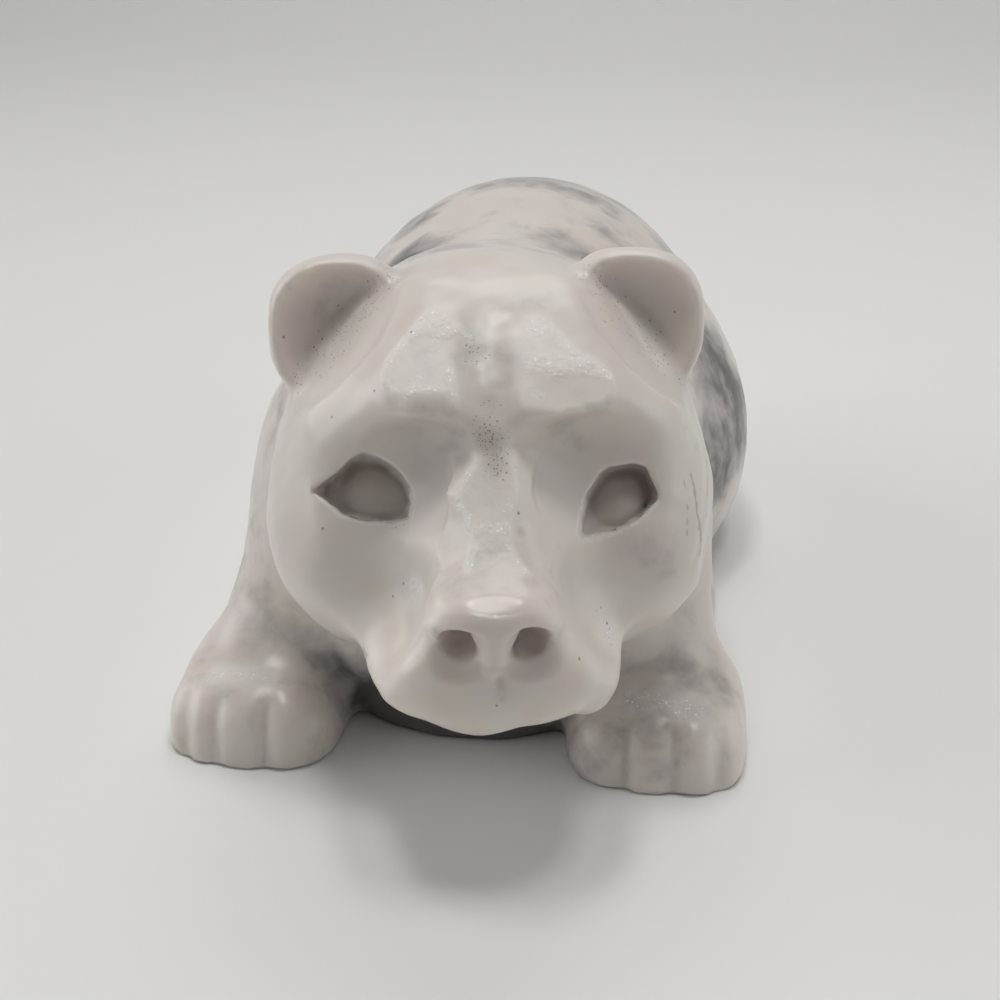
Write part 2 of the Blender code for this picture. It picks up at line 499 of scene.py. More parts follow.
@dataclass(frozen=True)
class Snout:
    """The bridge of the snout, the nose and the nostrils."""

    bridge: Outline = Outline((0, -18, 2.5), (-26.8, 0, -1.5), (
        (-1.6, 5.2), (-3.3, 2.3), (-2.4, 0.3), (-2.0, -1.6), (-2.6, -4.9), (-3.2, -8), (3.0, -8), (2.4, -4.8),
        (0.9, -1.4), (1.0, -0.1), (1.8, 2.3), (1.4, 5.2)), 0)
    bridge_upper: tuple[Triple, Triple] = ((-0.4, -16.7, 4.2), (-0.02, -0.73, 0.68))
    bridge_lower: tuple[Triple, Triple] = ((-0.1, -21.0, 0.3), (-0.02, -0.54, 0.84))
    bridge_draft: float = 0.9
    bridge_height: float = 2.0
    nose_centre: Triple = (-0.4, -22.9, -3.3)
    nose_size: Triple = (10.8, 8.6, 5.0)
    nose_fullness: float = 2.5
    ledge_facing: Triple = (0, -0.53, 0.85)
    ledge_cut: float = 0.13
    wing_centre: Triple = (3.6, -24.0, -4.5)
    wing_size: Triple = (4.6, 5.4, 3.0)
    nostril_centre: Triple = (2.8, -26.0, -5.6)
    nostril_size: Triple = (4.4, 7.2, 3.9)
    nostril_turn: Triple = (0, 24, 0)
    scoop_centre: Triple = (3.6, -27.2, -6.6)
    scoop_size: Triple = (7.0, 4.3, 5.6)

    def ridge(self, points: Points) -> tuple[Distances, Distances]:
        """Measure the height above the top of the bridge, and the distance from its sides."""
        top = blend(plane(points, *self.bridge_upper), plane(points, *self.bridge_lower), 0.7)
        flank = self.bridge.distance(self.bridge.aimed(points)) + self.bridge_draft * top
        return top, flank / math.hypot(1, self.bridge_draft)

    def ledge(self) -> Triple:
        """Find a point on the small flat that is cut across the top edge of the nose."""
        facing = np.array(self.ledge_facing) / np.linalg.norm(self.ledge_facing)
        power = self.nose_fullness / (self.nose_fullness - 1)
        height = (np.abs(np.array(self.nose_size) / 2 * facing) ** power).sum() ** (1 / power)
        return tuple(np.array(self.nose_centre) + facing * (height - self.ledge_cut))

    def halves(self, points: Points) -> Points:
        """Fold the two halves of the nose together."""
        return both_sides(points - np.array((self.nose_centre[0], 0, 0), np.float32))

    def nostril(self, points: Points) -> Distances:
        """Measure to the hollows of the nostrils."""
        return ellipsoid(self.halves(points), self.nostril_centre, self.nostril_size, self.nostril_turn)

    def carve(self, points: Points, stone: Distances) -> Distances:
        """Add the bridge and nose, and sink the nostrils."""
        top, flank = self.ridge(points)
        ridge = -blend(-top, -flank, 0.35)
        stone = blend(stone, np.maximum(ridge, -top - self.bridge_height), 1.0)
        nose = boulder(points, self.nose_centre, self.nose_size, self.nose_fullness)
        stone = blend(stone, pare(nose, -plane(points, self.ledge(), self.ledge_facing), 0.1), 1.2)
        halves = self.halves(points)
        stone = blend(stone, ellipsoid(halves, self.wing_centre, self.wing_size), 1.0)
        stone = pare(stone, ellipsoid(halves, self.scoop_centre, self.scoop_size, (0, 0, 14)), 0.7)
        stone = pare(stone, self.nostril(points), 0.45)
        stone = blend(stone, limb(points, (-0.3, -24.7, -4.2), 2.2, (-0.4, -25.9, -7.9), 0.6), 0.8)
        groove = limb(points, (0.1, -26.9, -8.9), 0.6, (0.3, -26.9, -10.8), 0.5)
        return pare(stone, groove, 0.35)


@dataclass(frozen=True)
class Flat:
    """A flat that the chisel left, with smaller cuts along its sides."""

    through: Triple
    facing: Triple
    sides: tuple[tuple[Pair, Pair, float], ...] = ()
    softness: float = 0.2

    def banks(self) -> list[tuple[Triple, Triple]]:
        """List the smaller cuts, each by a point on it and the way it faces."""
        middle = np.array(self.through)
        facing = np.array(self.facing) / np.linalg.norm(self.facing)
        found = []
        for *ends, tilt in self.sides:
            start, end = (
                np.array((x, (facing @ middle - facing[0] * x - facing[2] * z) / facing[1], z)) for x, z in ends)
            away = np.cross(end - start, facing)
            away *= np.sign(away @ (start - middle)) / np.linalg.norm(away)
            found.append((tuple(start), tuple(facing + tilt * away)))
        return found

    def height(self, points: Points) -> Distances:
        """Measure the height above the flat."""
        return plane(points, self.through, self.facing)


@dataclass(frozen=True)
class Head:
    """The head in its own frame, whose origin is in the middle of the skull."""

    centre: Triple = (3.5, -34.9, 34.0)
    turn: Triple = (0, 0, 9.5)
    reach: float = 36
    skull_size: Triple = (41, 40, 35.6)
    cheek_centre: Triple = (9.5, -0.5, -6.2)
    cheek_size: Triple = (26.4, 27, 27)
    muzzle_centre: Triple = (-0.5, -13.4, -10.9)
    muzzle_size: Triple = (24.8, 25.4, 13.2)
    lobe_centre: Triple = (7.9, -15.3, -13.0)
    lobe_size: Triple = (8.2, 15, 10.2)
    chin_centre: Triple = (-1.6, -18.4, -13.2)
    chin_size: Triple = (13.5, 14, 10)
    forehead_flats: tuple[Flat, ...] = (
        Flat((-5.5, -12.86, 13.52), (0.09, -0.72, 0.69), (((-8.2, 11.9), (-6.0, 14.7), 0.22),
                                                        ((-6.0, 14.7), (-3.9, 14.6), 0.22))),
        Flat((5.3, -10.95, 14.55), (-0.02, -0.57, 0.82), (((2.9, 16.8), (6.2, 16.2), 0.22),
                                                        ((6.8, 15.9), (9.0, 12.9), 0.24),
                                                        ((2.8, 12.55), (8.7, 12.6), 0.50))),
    )
    side_flat: Flat = Flat((21.2, -6, -1), (1, -0.30, -0.06))
    bank_softness: float = 0.8
    brow_edges: tuple[tuple[Triple, Triple], ...] = (
        ((-8.3, 0, 11.2), (-0.68, 0, 0.73)),
        ((12.5, 0, 10.2), (0.50, 0, 0.87)),
    )
    groove_top: Triple = (-0.9, -7.0, 22.2)
    groove_foot: Triple = (-0.6, -18.6, 12.6)
    groove_radius: float = 4.5
    snout: Snout = Snout()
    ears: dict[Side, Ear] = field(default_factory=lambda: {
        Side.RIGHT: Ear((-14.6, 3.4, 12.8), (-8, 0, 12)),
        Side.LEFT: Ear((13.9, 3.4, 13.3), (-8, 0, -12)),
    })
    eyes: tuple[Eye, ...] = (
        Eye(Outline((-12, -10.5, 2), (-25.4, 0, 4.6), (
            (-4.2, 0.0), (-3.1, -1.1), (-1.9, -2.1), (-0.4, -2.6), (2.4, -2.9), (3.7, -2.6), (4.0, -1.5),
            (3.8, -0.2), (3.2, 0.8), (2.2, 1.9), (1.2, 2.5), (0.0, 2.9), (-1.0, 2.5), (-2.3, 1.4))),
            (0.9, -0.5), (8.0, 5.8), (-3.3, 0.1)),
        Eye(Outline((12, -10.5, 1), (-25.7, 0, -7.4), (
            (-3.4, -3.7), (-3.4, -2.4), (-3.0, -0.4), (-1.8, 1.7), (-1.2, 2.2), (0.9, 2.6), (1.8, 2.4),
            (2.7, 0.7), (2.9, -0.2), (1.9, -1.5), (1.1, -2.2), (-0.4, -3.0))),
            (0.1, -0.5), (6.6, 5.6), (3.2, 1.0)),
    )

    def masses(self, points: Points) -> Distances:
        """Shape the skull, cheeks, brows and muzzle."""
        pair = both_sides(points)
        stone = ellipsoid(points, (0, 4, 2), self.skull_size)
        stone = blend(stone, ellipsoid(pair, self.cheek_centre, self.cheek_size), 5)
        stone = blend(stone, limb(pair, (6.0, -10.2, 10.9), 4, (5.6, -1, 15.4), 3.4), 2.4)
        stone = blend(stone, limb(pair, (6.4, -10.2, 10.6), 3.9, (12.5, -5.4, 6.0), 4.6), 3.4)
        hollow = boulder(pair, (10.0, -18.7, 4.2), (19.4, 17.4, 14.4), 2.6)
        for through, facing in self.brow_edges:
            hollow = -blend(-hollow, -plane(points, through, facing), 2.5)
        stone = pare(stone, hollow, 2.3)
        for flat in self.forehead_flats:
            for through, facing in flat.banks():
                stone = pare(stone, -plane(points, through, facing), self.bank_softness)
        stone = blend(stone, limb(points, (0, -8, -2.5), 8, (0, -19, -6.5), 6.5), 5)
        stone = blend(stone, boulder(points, self.muzzle_centre, self.muzzle_size, 2.6), 3.5)
        stone = blend(stone, ellipsoid(points, self.lobe_centre, self.lobe_size), 0.8)
        return blend(stone, ellipsoid(points, self.chin_centre, self.chin_size), 0.8)

    def planes(self, points: Points, stone: Distances) -> Distances:
        """Pare the flats of the forehead and cheeks, and the groove up the forehead."""
        for flat in (*self.forehead_flats, self.side_flat):
            stone = pare(stone, -flat.height(points), flat.softness)
        groove = limb(points, self.groove_top, self.groove_radius, self.groove_foot, self.groove_radius)
        stone = pare(stone, groove, 1.0)
        pair = both_sides(points)
        return pare(stone, ellipsoid(pair, (13.2, -19.2, -5), (13, 12.6, 15)), 3)

    def whole(self, points: Points) -> Distances:
        """Measure to the finished head.

        Args:
            points: Points in the bear's frame.

        Returns:
            The distances to the head's surface.
        """
        local = seen_from(points, self.centre, self.turn)
        stone = self.planes(local, self.masses(local))
        stone = self.snout.carve(local, stone)
        for side, ear in self.ears.items():
            stone = ear.carve(local, stone, side)
        for eye in self.eyes:
            stone = eye.carve(local, stone)
        return stone


@dataclass(frozen=True)
class Bear:
    """The whole carving: torso, legs and head, sawn flat underneath."""

    torso: Torso = Torso()
    legs: Legs = field(default_factory=Legs)
    head: Head = Head()
    ground_edge: float = 0.6
    mark_depth: float = 0.09

    def hand_marks(self, points: Points) -> np.ndarray:
        """Raise and lower the surface a little, as hand polishing leaves it."""
        x, y, z = (points[..., axis] for axis in range(3))
        swell = np.sin(0.62 * x + 0.31 * z + 1.4) * np.sin(0.55 * y - 0.27 * x) * np.sin(0.58 * z + 0.22 * y)
        ripple = np.sin(1.25 * x - 0.5 * y) * np.sin(1.15 * y + 0.6 * z + 0.8) * np.sin(1.3 * z - 0.4 * x)
        return self.mark_depth * (swell + 0.5 * ripple)

    def solid(self, points: Points) -> Distances:
        """Measure to the surface of the whole bear."""
        stone = self.legs.solid(points, self.torso.solid(points))
        near = where_near(points, self.head.centre, self.head.reach)
        stone[near] = blend(stone[near], self.head.whole(points[near]), 4)
        stone = stone + self.hand_marks(points)
        return pare(stone, points[..., 2], self.ground_edge)


# Cutting the mesh from the stone


@dataclass(frozen=True)
class Chisel:
    """Turns a solid into a mesh: roughs it out on a grid, then works the fine places closer."""

    lowest: Triple
    highest: Triple
    step: float
    brick: int = 8

    def measured(self, solid: Shape) -> tuple[np.ndarray, np.ndarray]:
        """Measure the solid on a grid, closely only in the bricks that its surface passes through.

        Args:
            solid: The shape to measure.

        Returns:
            The grid of distances, and its lowest corner.
        """
        low = np.array(self.lowest, float)
        spans = np.ceil((np.array(self.highest) - low) / self.step / self.brick).astype(int)
        corners = np.stack(np.meshgrid(*map(np.arange, spans), indexing="ij"), -1).reshape(-1, 3)
        middles = low + (corners * self.brick + (self.brick - 1) / 2) * self.step
        coarse = solid(middles.astype(np.float32))
        values = np.empty((len(corners), self.brick, self.brick, self.brick), np.float32)
        values[:] = coarse[:, None, None, None]
        crossed = np.flatnonzero(np.abs(coarse) < self.step * self.brick * 1.5 + 1)
        inner = np.stack(np.meshgrid(*[np.arange(self.brick)] * 3, indexing="ij"), -1).reshape(-1, 3)
        for batch in np.array_split(crossed, max(1, len(crossed) // 400)):
            places = low + (corners[batch][:, None] * self.brick + inner) * self.step
            found = solid(places.astype(np.float32).reshape(-1, 3))
            values[batch] = found.reshape(len(batch), self.brick, self.brick, self.brick)
        grid = values.reshape(*spans, self.brick, self.brick, self.brick)
        return grid.transpose(0, 3, 1, 4, 2, 5).reshape(spans * self.brick), low

    def skinned(self, solid: Shape) -> tuple[Points, np.ndarray]:
        """Skin the solid with quads, one corner in each grid cell that the surface passes through.

        Args:
            solid: The shape to skin.

        Returns:
            The corners in millimetres, and the four corner numbers of each quad.
        """
        grid, low = self.measured(solid)
        inside = grid < 0
        cells = [slice(0, size - 1) for size in grid.shape]
        count = np.zeros([size - 1 for size in grid.shape], np.int8)
        steps = [np.array(offset) for offset in np.ndindex(2, 2, 2)]
        for offset in steps:
            count += inside[tuple(slice(o, o + c.stop) for o, c in zip(offset, cells))]
        crossed = (count > 0) & (count < 8)
        number = np.full(crossed.shape, -1)
        where = np.argwhere(crossed)
        number[crossed] = np.arange(len(where))
        total, hits = np.zeros((len(where), 3)), np.zeros(len(where))
        for offset in steps:
            for axis in np.flatnonzero(offset == 0):
                ahead = offset + np.eye(3, dtype=int)[axis]
                here, there = grid[tuple((where + offset).T)], grid[tuple((where + ahead).T)]
                cut = (here < 0) != (there < 0)
                place = offset + np.zeros((cut.sum(), 3))
                place[:, axis] += here[cut] / (here[cut] - there[cut])
                total[cut] += place
                hits[cut] += 1
        corners = (where + total / hits[:, None]) * self.step + low
        return corners.astype(np.float32), np.concatenate([self.quads(inside, number, axis) for axis in range(3)])

    @staticmethod
    def quads(inside: np.ndarray, number: np.ndarray, axis: int) -> np.ndarray:
        """List the quads that cross the grid lines along one axis.

        Args:
            inside: True at each grid point in the stone.
            number: The corner number of each cell.
            axis: The axis of the grid lines.

        Returns:
            The corner numbers, facing out.
        """
        across = [(axis + 1) % 3, (axis + 2) % 3]
        here = np.take(inside, range(inside.shape[axis] - 1), axis)
        there = np.take(inside, range(1, inside.shape[axis]), axis)
        edges = np.argwhere(here != there)
        rim = [inside.shape[a] - 1 for a in across]
        kept = (edges[:, across] > 0).all(1) & (edges[:, across] < rim).all(1)
        edges = edges[kept]
        sides = []
        for back in ((1, 1), (0, 1), (0, 0), (1, 0)):
            cell = edges.copy()
            cell[:, across] -= back
            sides.append(number[tuple(cell.T)])
        found = np.stack(sides, 1)
        outward = here[tuple(edges.T)]
        found[~outward] = found[~outward][:, ::-1]
        return found


def settle(solid: Shape, corners: Points, passes: int = 3, probe: float = 0.04, most: float = 0.5) -> Points:
    """Move points onto the surface of a solid.

    Args:
        solid: The shape to meet.
        corners: The points to move.
        passes: How many times to move them.
        probe: How far apart the slope is measured.
        most: The furthest move in one pass.

    Returns:
        The moved points.
    """
    corners = corners.astype(np.float32)
    for _ in range(passes):
        distance = solid(corners)
        slope = np.empty_like(corners)
        for axis in range(3):
            shift = np.zeros(3, np.float32)
            shift[axis] = probe
            slope[:, axis] = (solid(corners + shift) - solid(corners - shift)) / (2 * probe)
        steep = (slope**2).sum(-1) + 1e-6
        corners = corners - np.clip(distance / steep, -most, most)[:, None] * slope
    return corners


def crowded(chisel_mesh: bpy.types.Mesh, wanted: Callable[[Points], np.ndarray]) -> None:
    """Split every wanted face of a mesh in four.

    Args:
        chisel_mesh: The mesh to change.
        wanted: Marks which of the face middles, in millimetres, lie in the fine place.
    """
    shape = bmesh.new()
    shape.from_mesh(chisel_mesh)
    middles = np.array([face.calc_center_median() for face in shape.faces], np.float32)
    faces = [face for face, fine in zip(shape.faces, wanted(middles)) if fine]
    edges = {edge for face in faces for edge in face.edges}
    bmesh.ops.subdivide_edges(shape, edges=sorted(edges, key=lambda e: e.index), cuts=1, use_grid_fill=True)
    shape.to_mesh(chisel_mesh)
    shape.free()


def corner_places(mesh: bpy.types.Mesh) -> Points:
    """Read the corners of a mesh as an array of points."""
    flat = np.empty(3 * len(mesh.vertices), np.float32)
    mesh.vertices.foreach_get("co", flat)
    return flat.reshape(-1, 3)


def move_corners(mesh: bpy.types.Mesh, places: Points) -> None:
    """Write the corners of a mesh from an array of points."""
    mesh.vertices.foreach_set("co", places.astype(np.float32).ravel())
    mesh.update()


def outward_of(mesh: bpy.types.Mesh) -> Points:
    """Read the direction out of a mesh at each of its corners."""
    flat = np.empty(3 * len(mesh.vertices), np.float32)
    mesh.vertex_normals.foreach_get("vector", flat)
    return flat.reshape(-1, 3)


def store(mesh: bpy.types.Mesh, name: str, values: np.ndarray) -> None:
    """Keep a value for each corner of a mesh, for its material to read.

    Args:
        mesh: The mesh.
        name: The name of the attribute.
        values: One number for each corner.
    """
    mesh.attributes.new(name, "FLOAT", "POINT").data.foreach_set("value", values.astype(np.float32))


# Shader nodes


class Wiring:
    """Adds nodes to a node tree and joins them."""

    def __init__(self, tree: bpy.types.NodeTree) -> None:
        """Start on a tree."""
        self.tree = tree

    def node(self, kind: str, inputs: dict[str | int, object] | None = None, **settings: object) -> bpy.types.Node:
        """Add a node.

        Args:
            kind: The node's type, without the leading ShaderNode.
            inputs: What each input socket holds: a value, or the socket that feeds it.
            **settings: The node's own properties.

        Returns:
            The new node.
        """
        made = self.tree.nodes.new(kind if kind.startswith("NodeGroup") else "ShaderNode" + kind)
        for name, value in settings.items():
            setattr(made, name, value)
        for name, value in (inputs or {}).items():
            if isinstance(value, bpy.types.NodeSocket):
                self.tree.links.new(value, made.inputs[name])
            else:
                made.inputs[name].default_value = value
        return made

    def math(self, operation: str, *values: object) -> bpy.types.NodeSocket:
        """Work a sum on one, two or three values, clamping nothing."""
        made = self.node("Math", dict(enumerate(values)), operation=operation)
        return made.outputs[0]

    def ramp(self, value: bpy.types.NodeSocket, start: float, end: float, low: float = 0, high: float = 1) -> bpy.types.NodeSocket:
        """Map a value smoothly, so that start gives low and end gives high."""
        inputs = {"Value": value, "From Min": start, "From Max": end, "To Min": low, "To Max": high}
        return self.node("MapRange", inputs, interpolation_type="SMOOTHSTEP").outputs["Result"]

    def mix(self, amount: object, first: object, second: object, how: str = "MIX") -> bpy.types.NodeSocket:
        """Mix two colours by an amount from 0 to 1."""
        made = self.node("Mix", data_type="RGBA", blend_type=how)
        for socket, value in ((made.inputs[0], amount), (made.inputs[6], first), (made.inputs[7], second)):
            if isinstance(value, bpy.types.NodeSocket):
                self.tree.links.new(value, socket)
            else:
                socket.default_value = value
        return made.outputs[2]

    def mask(self, name: str) -> bpy.types.NodeSocket:
        """Read a value that the mesh keeps for each corner."""
        return self.node("Attribute", attribute_name=name).outputs["Fac"]

    def noise(self, vector: bpy.types.NodeSocket, scale: float, detail: float, rough: float = 0.5, distort: float = 0) -> bpy.types.NodeSocket:
        """Add soft noise whose patches are about 1 / scale across."""
        inputs = {"Vector": vector, "Scale": scale, "Detail": detail, "Roughness": rough, "Distortion": distort}
        return self.node("TexNoise", inputs).outputs["Fac"]


def node_group(name: str, inputs: Sequence[tuple[str, str, object]], outputs: Sequence[tuple[str, str]]) -> tuple[bpy.types.NodeTree, Wiring, bpy.types.Node, bpy.types.Node]:
    """Start a shader node group.

    Args:
        name: The group's name.
        inputs: Each input's name, its kind (Float, Vector or Color) and its default.
        outputs: Each output's name and kind.

    Returns:
        The group, its wiring, its input node and its output node.
    """
    group = bpy.data.node_groups.new(name, "ShaderNodeTree")
    for label, kind, default in inputs:
        socket = group.interface.new_socket(label, in_out="INPUT", socket_type="NodeSocket" + kind)
        if default is not None:
            socket.default_value = default
    for label, kind in outputs:
        group.interface.new_socket(label, in_out="OUTPUT", socket_type="NodeSocket" + kind)
    wiring = Wiring(group)
    return group, wiring, wiring.node("NodeGroupInput"), wiring.node("NodeGroupOutput")


def cloud_group() -> bpy.types.NodeTree:
    """Make the grey clouds that run through the marble.

    Returns:
        The group. It takes a place in millimetres and how grey the stone is there, painted shade included,
        and gives a mask of soft clouds, a mask of dark flecks in the middle of them and a mask of warm stains.
    """
    group, wire, given, made = node_group(
        "stone_clouds", [("Place", "Vector", None), ("Greyness_and_shade", "Float", 0.5)],
        [("Clouds", "Float"), ("Flecks", "Float"), ("Stains", "Float")])
    place, greyness_and_shade = given.outputs["Place"], given.outputs["Greyness_and_shade"]
    drawn = wire.node("Mapping", {"Vector": place, "Rotation": (0.5, 0.3, 0.7), "Scale": (1.0, 1.3, 1.0)})
    broad = wire.noise(drawn.outputs[0], 0.085, 2, 0.55, 0.4)
    fine = wire.noise(drawn.outputs[0], 0.30, 3, 0.60, 0.3)
    lump = wire.math("ADD", wire.math("MULTIPLY", broad, 0.58), wire.math("MULTIPLY", fine, 0.42))
    lift = wire.math("ADD", lump, wire.math("MULTIPLY", greyness_and_shade, 0.40))
    wire.tree.links.new(wire.ramp(lift, 0.56, 0.88), made.inputs["Clouds"])
    wire.tree.links.new(wire.ramp(lift, 0.80, 0.98), made.inputs["Flecks"])
    wire.tree.links.new(wire.ramp(wire.noise(place, 0.16, 1, 0.5), 0.54, 0.74), made.inputs["Stains"])
    return group


def grain_group() -> bpy.types.NodeTree:
    """Make the fine crystals of the marble.

    Returns:
        The group. It takes a place in millimetres and gives a soft grain, a mask of single crystals
        whose sparkle the marble paints in as glints, and a height for a bump.
    """
    group, wire, given, made = node_group(
        "crystal_grain", [("Place", "Vector", None)],
        [("Grain", "Float"), ("Sparkle", "Float"), ("Height", "Float")])
    place = given.outputs["Place"]
    crystals = wire.node("TexVoronoi", {"Vector": place, "Scale": 2.8, "Randomness": 1.0})
    chance = wire.node("SeparateColor", {"Color": crystals.outputs["Color"]}).outputs[0]
    middle = wire.ramp(crystals.outputs["Distance"], 0.55, 0.15)
    wire.tree.links.new(wire.noise(place, 1.1, 1, 0.65), made.inputs["Grain"])
    sparkle = wire.math("MULTIPLY", wire.ramp(chance, 0.25, 0.60), middle)
    wire.tree.links.new(sparkle, made.inputs["Sparkle"])
    wire.tree.links.new(wire.math("ADD", chance, wire.noise(place, 2.5, 1)), made.inputs["Height"])
    return group


def pit_group() -> bpy.types.NodeTree:
    """Make the tiny open pits that hold dirt.

    Returns:
        The group. It takes a place in millimetres and how pitted the stone is there, and gives a
        mask of the pits.
    """
    group, wire, given, made = node_group(
        "dirt_pits", [("Place", "Vector", None), ("Amount", "Float", 0.0)], [("Pits", "Float")])
    place, amount = given.outputs["Place"], given.outputs["Amount"]
    cells = wire.node("TexVoronoi", {"Vector": place, "Scale": 4.2, "Randomness": 1.0})
    rolls = wire.node("SeparateColor", {"Color": cells.outputs["Color"]})
    open_here = wire.ramp(wire.math("SUBTRACT", amount, rolls.outputs[1]), 0.02, 0.20)
    reach = wire.math("MULTIPLY_ADD", rolls.outputs[2], 0.34, 0.16)
    ragged = wire.math("ADD", cells.outputs["Distance"], wire.math("MULTIPLY", wire.noise(place, 6, 1), 0.3))
    hole = wire.ramp(wire.math("SUBTRACT", reach, wire.math("SUBTRACT", ragged, 0.12)), -0.05, 0.12)
    size = wire.math("MULTIPLY", hole, open_here)
    wire.tree.links.new(size, made.inputs["Pits"])
    return group


def speck_group(specks: Sequence[tuple[Triple, float]]) -> bpy.types.NodeTree:
    """Make the single dark specks that can be picked out on the bear.

    Args:
        specks: Each speck's place in millimetres and its radius.

    Returns:
        The group. It takes a place in millimetres and gives a mask of the specks.
    """
    group, wire, given, made = node_group("single_specks", [("Place", "Vector", None)], [("Specks", "Float")])
    place = given.outputs["Place"]
    ragged = wire.math("MULTIPLY", wire.noise(place, 3.2, 1), 0.9)
    total = None
    for centre, radius in specks:
        away = wire.node("VectorMath", {0: place, 1: centre}, operation="DISTANCE").outputs["Value"]
        size = wire.math("DIVIDE", away, radius)
        total = size if total is None else wire.math("MINIMUM", total, size)
    wire.tree.links.new(wire.ramp(wire.math("ADD", total, ragged), 1.65, 1.25), made.inputs["Specks"])
    return group


def scratch_group(scratches: Sequence[tuple[Triple, Triple, float]]) -> bpy.types.NodeTree:
    """Make the thin dark scratches that can be picked out on the bear.

    Args:
        scratches: Each scratch's two ends in millimetres and its half width.

    Returns:
        The group. It takes a place in millimetres and gives a mask of the scratches.
    """
    group, wire, given, made = node_group("dark_scratches", [("Place", "Vector", None)], [("Scratches", "Float")])
    wander = wire.node("TexNoise", {"Vector": given.outputs["Place"], "Scale": 0.9, "Detail": 1.0})
    shift = wire.node("VectorMath", {0: wander.outputs["Color"], 1: (0.5, 0.5, 0.5)}, operation="SUBTRACT")
    shift = wire.node("VectorMath", {0: shift.outputs[0], "Scale": 0.9}, operation="SCALE")
    place = wire.node("VectorMath", {0: given.outputs["Place"], 1: shift.outputs[0]}, operation="ADD").outputs[0]
    total = None
    for start, end, half_width in scratches:
        along = Vector(end) - Vector(start)
        from_start = wire.node("VectorMath", {0: place, 1: start}, operation="SUBTRACT").outputs[0]
        reach = wire.node("VectorMath", {0: from_start, 1: along / along.length_squared}, operation="DOT_PRODUCT")
        part = wire.node("Clamp", {"Value": reach.outputs["Value"]}).outputs[0]
        foot = wire.node("VectorMath", {0: along, "Scale": part}, operation="SCALE").outputs[0]
        away = wire.node("VectorMath", {0: from_start, 1: foot}, operation="DISTANCE").outputs["Value"]
        size = wire.math("DIVIDE", away, half_width)
        total = size if total is None else wire.math("MINIMUM", total, size)
    broken = wire.math("MULTIPLY", wire.noise(place, 1.4, 1), 1.2)
    wire.tree.links.new(wire.ramp(wire.math("ADD", total, broken), 1.9, 1.0), made.inputs["Scratches"])
    return group


